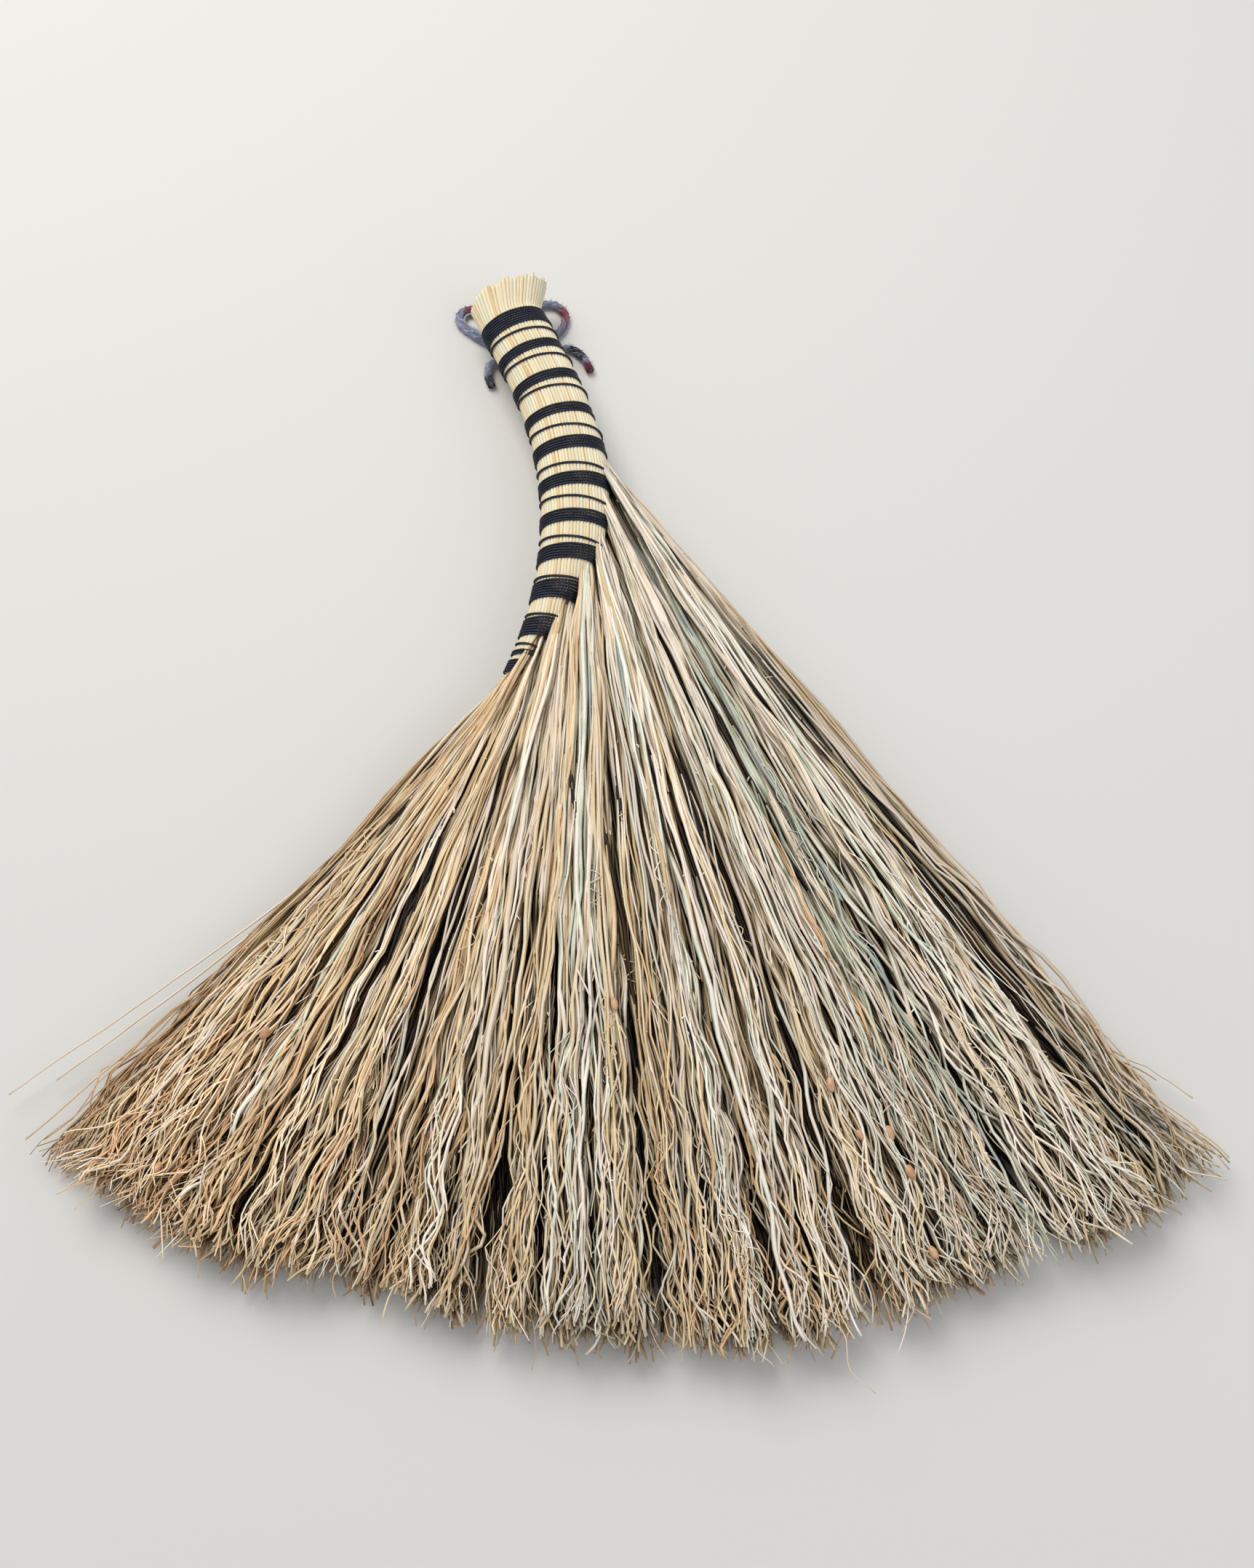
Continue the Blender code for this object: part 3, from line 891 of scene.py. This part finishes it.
# Shade, by a fibre's height in the pile, and how it pales towards the tip.
fibre_shades = (0.86, 1.22)
heights = (0, 0.3, 0.5, 0.75)
shade_by_height = (0.8, 0.62, 0.68, 1)
deep_after = 0.6
paleness = {1: 1.28, 2: 1.14}
usual_paleness = 1.05
pale_stretch = (0.3, 0.8)
tip_browning = 0.08
# Fibres low in the pile are browner, partly in their own colour and partly in painted shade.
low_browning_and_shade = 0.08

# The lining: thick strands, nearly black with painted shade for the dark depth of the pile.
shade_lining_per_bundle = 70
shade_lining_width = 1.7 * MM
shade_lining_curl = 0.8 * MM
shade_lining_edge = 31.5 * DEGREE
shade_lining_start = 0.4
shade_lining_spacing = 12 * MM
shade_lining_heights = (0.2, 0.42)
shade_lining_tints = (0.8, 0.95)
shade_lining_shades = (0.03, 0.09)

# Angles in the fan, in degrees, each with the fibres' usual tint there.
tint_across = (
    (-34, 0.6),
    (-22, 0.56),
    (-12, 0.49),
    (-7, 0.43),
    (8, 0.43),
    (14, 0.38),
    (26, 0.35),
    (34, 0.38),
)
odd_tints = (0, -0.2, 0.17)
odd_tint_shares = (0.82, 0.1, 0.08)
tint_spread = 0.06


def straw_tint(angle):
    """A fibre's tint, by its angle in the fan: one in ten is whiter or greener, and a few are browner."""
    base = np.interp(angle / DEGREE, *zip(*tint_across))
    return base + chance.choice(odd_tints, p=odd_tint_shares) + chance.normal(0, tint_spread)


def grow_bundle(bundle):
    """The fibres of a bundle's bristles, and the lining of strands in painted shade among them."""
    start_station = np.array(band_count + 1.1 - bundle)
    _, heading = back(start_station)
    leave = leave_speed * np.array((math.sin(heading), -math.cos(heading), 0))
    middle = -fan_half_angle + (bundle - 0.5) * sector_width
    fine = fineness.get(bundle, 1.0)
    curly = curliness.get(bundle, 1.0)
    pale = paleness.get(bundle, usual_paleness)
    roots = stem_roots(bundle)
    per_stem = math.ceil(fibres_per_bundle / len(roots))
    grown, shade_lining = [], []
    for across, up, share in roots:
        limit = math.sqrt(max(1 - across**2, 0.05))
        height = np.clip((up / limit + 1) / 2, 0.02, 0.98)
        root = on_handle(start_station, math.atan2(up, across), math.hypot(across, up))
        share = share + chance.uniform(-stem_shift, stem_shift)
        angle = middle + (share - 0.5) * sector_width * sector_overlap
        angle = angle + chance.normal(0, stem_angle_spread)
        tip = tip_of(angle, height, chance.normal(0, stem_reach_spread))
        arrive = (tip - root) * 0.95 + UP * chance.uniform(-4, 0) * MM
        whole = float(np.linalg.norm(tip - root))

        def fibre(begin, own_angle, own_height, longer, width, curl, tint, shades, spacing, lock):
            """One fibre, from where it splits off its stem to its own place in the trim."""
            own_tip = tip_of(own_angle, own_height, longer)
            apart = np.linspace(0, 1, max(8, int(whole * (1 - begin) / spacing)))
            apart = apart * (1.5 - 0.5 * apart)
            t = begin + (1 - begin) * apart
            line = hermite(root, tip, leave, arrive, t) + (own_tip - tip) * (apart**1.25)[:, None]
            aside = np.array((math.cos(own_angle), math.sin(own_angle), 0))
            free = np.clip(apart / free_after, 0, 1)
            splay = chance.normal(0, tip_splay) * apart**9
            sway = (lock_sideways * lock[0](t) + new_sway(whole, curl)(t)) * free
            line += aside * (sway + splay)[:, None]
            line += UP * (lock_upwards * lock[1](t) * free)[:, None]
            own_shade, deep_share = shades
            shade = own_shade * (1 + (deep_share - 1) * np.clip(t / deep_after, 0, 1))
            shade = shade * np.interp(t, pale_stretch, (1, pale))
            taper, swell = (stem_taper, 0.0) if begin == 0 else (fibre_taper, fibre_swell)
            return tapered(line, width, taper, tint + tip_browning * t**2, shade, swell)

        for number in range(per_stem):
            if number % fibres_per_lock == 0:
                away = 0 if number == 0 else 1
                lock = [new_sway(whole, most_curl * curly * chance.uniform(*lock_curls)) for _ in range(2)]
                lock_angle = angle + away * chance.normal(0, lock_angle_spread)
                lock_height = height + away * chance.normal(0, lock_height_spread)
                lock_tint = chance.choice(lock_tints, p=lock_tint_shares)
                lock_tint += chance.normal(0, lock_tint_spread)
                lock_longer = chance.normal(0, lock_reach_spread)
            begin = 0.0
            if number:
                begin = chance.choice((chance.uniform(*early_split), chance.uniform(*late_split)))
            own_angle = lock_angle + chance.normal(0, fibre_angle_spread)
            own_height = lock_height + chance.normal(0, fibre_height_spread)
            own_height = float(np.clip(own_height, 0.01, 1))
            longer = lock_longer + chance.normal(-1, 2) * MM
            longer += chance.uniform(*long_fibre) * MM if chance.uniform() < long_fibre_share else 0
            width = (fibre_width if number else stem_width) * fine * chance.lognormal(0, width_spread)
            width = min(width, most_width)
            curl = most_curl * curly * min(chance.lognormal(-0.1, curl_spread), 2.4)
            # Low in the pile the tint is browner: partly own colour, partly painted shade.
            tint = straw_tint(own_angle) + lock_tint + np.interp(own_height, (0.4, 0.7), (low_browning_and_shade, 0))
            shows = own_height > 0.6 or own_height < 0.1
            spacing = shown_spacing if shows else hidden_spacing
            shades = chance.uniform(*fibre_shades), np.interp(own_height, heights, shade_by_height)
            place = (begin, own_angle, own_height, longer)
            grown.append(fibre(*place, width, curl, tint, shades, spacing, lock))
        # Strands of the lining, nearly black with painted shade.
        for _ in range(math.ceil(shade_lining_per_bundle / len(roots))):
            own_angle = middle + chance.uniform(-0.6, 0.6) * sector_width
            own_angle = np.clip(own_angle, -shade_lining_edge, shade_lining_edge)
            tint = chance.uniform(*shade_lining_tints)
            shades = chance.uniform(*shade_lining_shades), 1
            longer = chance.uniform(-24, -4) * MM
            own_height = chance.uniform(*shade_lining_heights)
            place = (shade_lining_start, own_angle, own_height, longer)
            shade_lining.append(fibre(*place, shade_lining_width, shade_lining_curl, tint, shades, shade_lining_spacing, lock))
    return grown, shade_lining


# %% [markdown]
# Hurl is never bare: it carries forked side twigs towards its tips, short stubs at its nodes and now and
# then a thin curl. They are small, but they make the fan look like a plant and not like wire. Most are
# put on fibres near the top of the pile, where they show.

# %% Side growth
twigs_per_bundle = 430
stubs_per_bundle = 300
curls_per_bundle = 22
curl_width = 0.42 * MM
side_taper = 0.3
shown_share = 0.7
high_share = 0.6

# Each kind: how many, where on a fibre it starts, its length in mm, its turn in degrees, its width in mm
# and its number of points.
side_kinds = (
    (twigs_per_bundle, 0.45, (4, 18), (6, 27), 0.7, 7),
    (stubs_per_bundle, 0.1, (1.3, 3.4), (25, 80), 0.8, 3),
)


def swung(vector, turn):
    """The vector, turned about the upward axis."""
    return np.array(Matrix.Rotation(turn, 3, "Z")) @ vector


def grow_twigs(grown):
    """Short side growth on the fibres: forked twigs towards the tips, stubs at nodes, and thin curls."""
    made = []
    high = [each for each in grown if each["line"][-1][2] > high_share * pile_height]

    def perch(lowest, highest):
        """A fibre, mostly one that shows, and a place and heading on it."""
        held = high if chance.uniform() < shown_share else grown
        parent = held[chance.integers(len(held))]
        line = parent["line"]
        at = int(chance.uniform(lowest, highest) * (len(line) - 1))
        along = line[at + 1] - line[at]
        return parent, line, at, along / np.linalg.norm(along)

    for amount, lowest, lengths, turns, width, points in side_kinds:
        s = np.linspace(0, 1, points)[:, None]
        for _ in range(amount):
            parent, line, at, along = perch(lowest, 0.97)
            turn = chance.choice((-1, 1)) * chance.uniform(*turns) * DEGREE
            spun = swung(along, turn) + UP * chance.uniform(-0.1, 0.35)
            length = chance.uniform(*lengths) * chance.uniform(0.4, 1) * MM
            bend = swung(spun, -turn * chance.uniform(0, 1.6)) - spun
            own = line[at] + (spun * s + bend * s**2 / 2) * length
            size = min(width * MM, parent["radius"][at] * 1.6) * chance.uniform(0.7, 1.1)
            tint = parent["tint"][at] + chance.normal(0, 0.05)
            made.append(tapered(own, size, side_taper, tint, parent["shade"][at]))
    s = np.linspace(0, 1, 22)[:, None]
    for _ in range(curls_per_bundle):
        parent, line, at, along = perch(0.25, 0.85)
        aside = np.cross(along, UP)
        length = chance.uniform(15, 42) * MM
        coil = np.sin(s * chance.uniform(6, 20)) * chance.uniform(0.8, 2.6) * MM
        arch = (s * (1 - s)) * chance.uniform(1, 6) * MM
        own = line[at] + along * s * length + aside * coil + UP * arch
        made.append(tapered(own, curl_width, side_taper, parent["tint"][at] + 0.1, parent["shade"][at]))
    return made


# %% [markdown]
# Light hardly reaches into the pile. A renderer shows some of that by itself, but pale straw passes
# light on from strand to strand, and the real pile has far more fibres than these. So the straw over
# each point is counted: strands are sorted into small cells, spread a little sideways and summed up from
# the top and from the underside. What lies under about one layer of straw is dark. Near the handle the
# straw is pressed into a smooth skin that catches light all over, so it is darkened less there.

# %% Shade inside the pile
# Cells are wider than they are high, and the margin is counted in them.
cell = 1.5 * MM
layer = 0.6 * MM
margin = 4
own_straw = 0.7
turned_under = 0.6
dark_depth = 1.15
darkest = 0.02
sideways = ((-1, 0.25), (0, 0.5), (1, 0.25))
relief_distances = np.array((10, 45, 110)) * MM
relief_shares = (0.25, 0.6, 1)


def from_handle(points):
    """Each point's distance from the nearest band of the handle."""
    bands, _ = back(band_stations.astype(float))
    return np.linalg.norm(points[:, None, :2] - bands[None, :, :2], axis=2).min(1)


def deepen(strands):
    """Darkens each point by the layers of straw over it, or under it where those are fewer."""
    places, weights = [], []
    for each in strands:
        fine_run = np.arange(0, each["run"][-1], cell / 2)
        places.append(np.stack([np.interp(fine_run, each["run"], each["line"][:, i]) for i in range(3)], 1))
        weights.append(np.interp(fine_run, each["run"], 2 * each["radius"]) * (cell / 2) / cell**2)
    places, weights = np.concatenate(places), np.concatenate(weights)
    low = places.min(0) - margin * cell
    size = np.array((cell, cell, layer))
    shape = ((places.max(0) - low) / size).astype(int) + margin + 1

    def cells(points):
        return np.ravel_multi_index(((points - low) / size).astype(int).T, shape)

    filled = np.bincount(cells(places), weights, minlength=int(np.prod(shape))).reshape(shape)
    for axis in (0, 1):
        filled = sum(share * np.roll(filled, move, axis) for move, share in sideways)
    over = (np.cumsum(filled[:, :, ::-1], 2)[:, :, ::-1] - own_straw * filled).ravel()
    under = (np.cumsum(filled, 2) - own_straw * filled).ravel()
    for each in strands:
        at = cells(each["line"])
        depth = np.minimum(over[at], turned_under + under[at])
        depth = depth * np.interp(from_handle(each["line"]), relief_distances, relief_shares)
        each["shade"] = each["shade"] * (darkest + (1 - darkest) / (1 + (depth / dark_depth) ** 3))


# %% The bundles, one after another
all_grown, bundles = [], []
for bundle in range(1, bundle_count + 1):
    grown, shade_lining = grow_bundle(bundle)
    all_grown.append(grown)
    bundles.append(grown + shade_lining + grow_twigs(grown))
deepen([each for held in bundles for each in held])
for bundle, strands in enumerate(bundles, 1):
    mesh = sweep(f"bristle_bundle_{bundle}", strands, hurl_straw)
    place_piece(f"bristle_bundle_{bundle}", mesh, "root", "hurl", f"hurl_{bundle}")
    print(f"bundle {bundle}: {len(strands)} strands")

# %% [markdown]
# A few long bristles stand off the fan's two edges. Each leaves an outer fibre of the first or the last
# bundle and runs on nearly straight, wider than the fan.

# %% Strays that stand off the fan's edges
stray_width = 0.95 * MM
stray_taper = 0.4
stray_sway = 0.8 * MM
stray_points = 34
stray_heights = (4, 12)
fibres_from_edge = 3

# Each stray: its bundle, where it leaves across the fan, its tip's angle in degrees and its reach in mm.
strays = []
for bundle, leave_x, tip_angle, tip_reach in (
    (1, -80, -38.4, 315),
    (1, -92, -35.6, 322),
    (1, -112, -36.9, 304),
    (7, 118, 35.2, 329),
    (7, 106, 34.9, 318),
    (7, 128, 35.8, 308),
):
    edge = sorted(all_grown[bundle - 1], key=lambda each: each["line"][-1][0])
    parent = edge[fibres_from_edge if bundle == 1 else -1 - fibres_from_edge]["line"]
    at = int(np.abs(parent[:, 0] - leave_x * MM).argmin())
    end = np.array((math.sin(tip_angle * DEGREE), -math.cos(tip_angle * DEGREE), 0)) * tip_reach * MM
    end += (0, trim_centre_y, chance.uniform(*stray_heights) * MM)
    along = (parent[at + 1] - parent[at]) / np.linalg.norm(parent[at + 1] - parent[at])
    away = np.linalg.norm(end - parent[at])
    t = np.linspace(0, 1, stray_points)
    line = hermite(parent[at], end, along * away, (end - parent[at]) * 0.8, t)
    line += np.array((1, 0.5, 0)) * (new_sway(away, stray_sway)(t) * np.clip(t / 0.2, 0, 1))[:, None]
    strays.append(tapered(line, stray_width, stray_taper, 0.4 + 0.2 * chance.uniform(), 1.0))
place_piece("stray_bristles", sweep("stray_bristles", strays, hurl_straw), "root", "hurl")

# %% [markdown]
# Combing takes most seeds off the hurl, but a few stay: small hard ovals, set along the fibre that bears
# them. A sphere is stretched and turned for each, and it rests on top of its fibre.

# %% Seeds left on the fibres
seed_count = 13
seed_length = 4.7 * MM
seed_width = 2.5 * MM
seed_sizes = (0.85, 1.1)
seed_places = (0.55, 0.97)
seed_lift = Vector((0, 0, 0.45 * seed_width))
bm = bmesh.new()
for _ in range(seed_count):
    grown = all_grown[chance.integers(bundle_count)]
    high = [each for each in grown if each["line"][-1][2] > 0.75 * pile_height]
    line = high[chance.integers(len(high))]["line"]
    at = int(chance.uniform(*seed_places) * (len(line) - 1))
    along = Vector(line[at + 1] - line[at]).normalized()
    turn = along.to_track_quat("Z", "Y").to_matrix().to_4x4()
    size = chance.uniform(*seed_sizes)
    shape = Matrix.Diagonal((seed_width / 2 * size, seed_width / 2 * size, seed_length / 2 * size, 1))
    place = Matrix.Translation(Vector(line[at]) + seed_lift)
    bmesh.ops.create_uvsphere(bm, u_segments=16, v_segments=10, radius=1, matrix=place @ turn @ shape)
for face in bm.faces:
    face.smooth = True
mesh = bpy.data.meshes.new("seed_husks")
bm.to_mesh(mesh)
bm.free()
mesh.materials.append(seed_material)
place_piece("seed_husks", mesh, "root", "hurl")

# %% [markdown]
# The yarn hanger: soft wool with its knot under the handle at the first band, two loops to hang the
# broom by and two short ends. Limp yarn lies where it falls, so the loops and ends follow the model's
# own routes on the ground, as smooth curves through a few marks.

# %% Routes of the yarn
yarn_diameter = 3.2 * MM
yarn_height = 1.9 * MM
knot_reach = 7.7 * MM
knot_low, knot_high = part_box("yarn_knot")
knot_place = np.array(((knot_low.x + knot_high.x) / 2, (knot_low.y + knot_high.y) / 2, 0))
points_per_span = 10


def smooth(marks):
    """A smooth curve through marks."""
    marks = np.asarray(marks, float)
    ends = np.concatenate(([2 * marks[0] - marks[1]], marks, [2 * marks[-1] - marks[-2]]))
    t = (np.arange(points_per_span) / points_per_span)[:, None]
    spans = [
        (2 * b + (c - a) * t + (2 * a - 5 * b + 4 * c - d) * t**2 + (3 * b - a - 3 * c + d) * t**3) / 2
        for a, b, c, d in zip(ends, ends[1:], ends[2:], ends[3:])
    ]
    return np.concatenate([*spans, marks[-1:]])


def from_knot(along, aside, heading):
    """A place on the ground, along a heading from the middle of the knot and aside from it."""
    x = along * math.cos(heading) - aside * math.sin(heading)
    y = along * math.sin(heading) + aside * math.cos(heading)
    return knot_place + np.array((x, y, yarn_height))


def loop_route(reach, half, heading):
    """A loop that leaves the knot, widens to its half width, turns round and comes back."""
    start = 0.62 * yarn_diameter
    straight = reach - half - knot_reach
    marks = [
        (knot_reach, start),
        (knot_reach + 0.3 * straight, start + 0.45 * (half - start)),
        (knot_reach + 0.65 * straight, start + 0.9 * (half - start)),
        (reach - half, half),
        (reach - 0.3 * half, 0.72 * half),
        (reach, 0),
    ]
    marks += [(along, -aside) for along, aside in reversed(marks[:-1])]
    return smooth([from_knot(along, aside, heading) for along, aside in marks])


def tail_route(reach, start, end):
    """A short end that leaves the knot at one heading and bends round to another."""
    marks = []
    for out_share, turn_share in ((0, 0), (0.4, 0), (0.65, 0.17), (0.85, 0.6), (1, 1)):
        out = knot_reach + (reach - knot_reach) * out_share
        marks.append(from_knot(out, 0, start + (end - start) * turn_share))
    return smooth(marks)


# Each route with its dye: shares of its length, each with a place on the ramp of yarn colours.
routes = {
    "loop_left": (
        loop_route(34 * MM, 4.4 * MM, 136 * DEGREE),
        (
            (0, 0.95),
            (0.18, 0.62),
            (0.4, 0.78),
            (0.47, 0.6),
            (0.53, 0.24),
            (0.6, 0.2),
            (0.68, 0.62),
            (1, 0.8),
        ),
    ),
    "loop_right": (
        loop_route(29.5 * MM, 7.2 * MM, 66 * DEGREE),
        (
            (0, 0.4),
            (0.35, 0.6),
            (0.5, 0.64),
            (0.57, 0.22),
            (0.64, 0.22),
            (0.7, 0.42),
            (0.82, 0.5),
            (1, 1),
        ),
    ),
    "tail_left": (
        tail_route(16.5 * MM, 183 * DEGREE, 225 * DEGREE),
        ((0, 0.7), (0.55, 0.78), (0.68, 0.9), (0.76, 1), (1, 1)),
    ),
    "tail_right": (
        tail_route(26.6 * MM, 22 * DEGREE, -10 * DEGREE),
        ((0, 0.5), (0.4, 0.9), (0.6, 1), (0.8, 1), (0.86, 0.03), (1, 0.0)),
    ),
}
for name, (line, _) in routes.items():
    print(f"{name}: {run_of(line)[-1] / MM:.1f} mm of yarn")

# %% [markdown]
# Wool yarn is soft: three thick plies give its form, and many thin loose ones, wound a little slower,
# its surface. Short hairs stand off all of them. All stay within about 4 mm of the route.

# %% Yarn
yarn_lay = 13 * MM
yarn_plies = 3
yarn_ply_radius = 0.25 * yarn_diameter
ply_swell = 0.14
dye_spread = 0.03
loose_dye_spread = 0.05
loose_plies = 17
loose_lay = 1.3
loose_hug = 0.9
loose_radii = (0.1, 0.17)
yarn_points_per_lay = 9
bump_spacing = 2 * MM
bump_size = 0.12 * MM
hairs, hair_stretch = 26, 30 * MM  # so many on each such stretch of a ply
hair_radius = 0.035 * MM
hair_points = 5
hair_lengths = (0.2, 0.9)
most_hair_curl = 0.8
inner_radius = 0.2 * yarn_diameter
inner_tint = 0.74
inner_ply_inward = 2.3 * MM
above_ground = 0.05 * MM


def hair_from(place, tint):
    """A short curled hair that stands off a ply."""
    way = chance.normal(0, 1, 3)
    way /= np.linalg.norm(way)
    curl = np.clip(chance.normal(0, 0.9, 3), -most_hair_curl, most_hair_curl) * MM
    t = np.linspace(0, 1, hair_points)[:, None]
    line = place + way * t * chance.uniform(*hair_lengths) * MM + curl * t**2
    return {"line": line, "radius": np.full(hair_points, hair_radius), "tint": np.full(hair_points, tint)}


def yarn_strands(line, dyes, inward=0.0):
    """Soft plies, loose ones over them, the hairs on both, and one ply more that runs inside a loop."""
    strands = []
    soft = plies(line, yarn_diameter, yarn_lay, yarn_plies, yarn_points_per_lay)
    loose = plies(line, yarn_diameter, loose_lay * yarn_lay, loose_plies, yarn_points_per_lay, loose_hug)
    for number, ply in enumerate(soft + loose):
        run = run_of(ply)
        share = run / run[-1]
        tint = np.interp(share, *zip(*dyes)) + chance.normal(0, dye_spread)
        bumps = chance.normal(0, bump_size, int(run[-1] / bump_spacing) + 2)
        rough = np.interp(run, np.arange(0, run[-1] + bump_spacing, bump_spacing), bumps)
        ply = ply + rough[:, None] * np.array((0.6, 0.6, 0.3))
        if number < len(soft):
            radius = yarn_ply_radius * (1 + ply_swell * np.sin(share * 40 + chance.uniform(0, 6)))
        else:
            radius = np.full(len(ply), chance.uniform(*loose_radii) * MM)
            tint = tint + chance.normal(0, loose_dye_spread)
        strands.append({"line": ply, "radius": radius, "tint": tint})
        for _ in range(int(hairs * run[-1] / hair_stretch)):
            at = chance.integers(1, len(ply) - 1)
            strands.append(hair_from(ply[at], tint[at]))
    if inward:
        towards = line.mean(0) - line
        towards[:, 2] = 0
        towards /= np.linalg.norm(towards, axis=1)[:, None]
        ply = resample(line + towards * inward, 1.5 * MM)
        radius = inner_radius * (1 + 0.2 * np.sin(run_of(ply) / (2 * MM)))
        strands.append({"line": ply, "radius": radius, "tint": np.full(len(ply), inner_tint)})
    for each in strands:
        each["line"][:, 2] = np.maximum(each["line"][:, 2], each["radius"] + above_ground)
    return strands


for name, (line, dyes) in routes.items():
    strands = yarn_strands(line, dyes, inner_ply_inward if name == "loop_left" else 0)
    mesh = sweep(f"yarn_{name}_plies", strands, yarn_material)
    place_piece(f"hanger_{name}", mesh, name, "yarn", f"yarn_{name}")

for name, tail in (("loop_left", "tail_left"), ("loop_right", "tail_right")):
    line = routes[name][0]

# %% [markdown]
# The knot lies under the handle, where hardly anything of it shows. Two flat windings of the same yarn,
# one inside the other, give it the right bulk and hide the roots of the loops and ends.

# %% The knot
knot_windings = 2.5
knot_points = 90
knot_tightening = 0.12
knot_squash = 0.9
knot_wave = 0.9
knot_dyes = ((0, 0.6), (0.5, 0.4), (1, 0.75))
turns = np.linspace(0, 2 * math.pi * knot_windings, knot_points)
wound = []
for start, squeeze, rise in ((0, 1.0, 0.0), (2.1, 0.72, 0.5)):
    spiral = (knot_reach - yarn_diameter / 2) * squeeze * (1 - knot_tightening * turns / turns[-1])
    x = knot_place[0] + spiral * np.cos(turns + start)
    y = knot_place[1] + spiral * np.sin(turns + start) * knot_squash
    z = yarn_height + (0.5 + 0.5 * np.sin(turns * 0.8 + start)) * knot_wave * MM + rise * MM
    wound += yarn_strands(np.stack((x, y, z), 1), knot_dyes)
mesh = sweep("hanger_knot", wound, yarn_material)
place_piece("hanger_knot", mesh, "root", "yarn", "yarn_knot")
